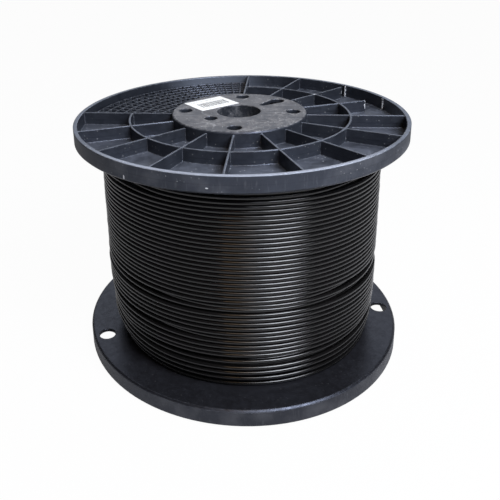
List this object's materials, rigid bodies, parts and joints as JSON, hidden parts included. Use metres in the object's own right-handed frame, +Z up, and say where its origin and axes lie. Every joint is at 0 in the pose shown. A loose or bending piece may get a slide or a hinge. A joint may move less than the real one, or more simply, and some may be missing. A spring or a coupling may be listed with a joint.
{
  "type": "reel of wire",
  "caption": "Moulded plastic reel wound full of black jacketed wire, with ribbed round flanges, a raised hub with an arbor bore and driving holes, and a plain paper label.",
  "frame": {"origin": "on the floor at the middle of the reel, where its axis meets the lower hub plate", "axes": "+Z up along the reel's axis, -Y toward the picture's viewer, +X to the picture's right"},
  "size_m": [0.4064, 0.4064, 0.3023],
  "materials": {
    "flange_plastic": "moulded, scuffed and dusty",
    "barrel_plastic": "plain extruded tube",
    "wire_jacket": "extruded jacket, satin",
    "label_paper": "coated self-adhesive paper"
  },
  "bodies": {
    "root": {"top_flange": "flange_plastic", "bottom_flange": "flange_plastic", "barrel": "barrel_plastic", "wire_winding": "wire_jacket", "label": "label_paper"}
  },
  "joints": []
}
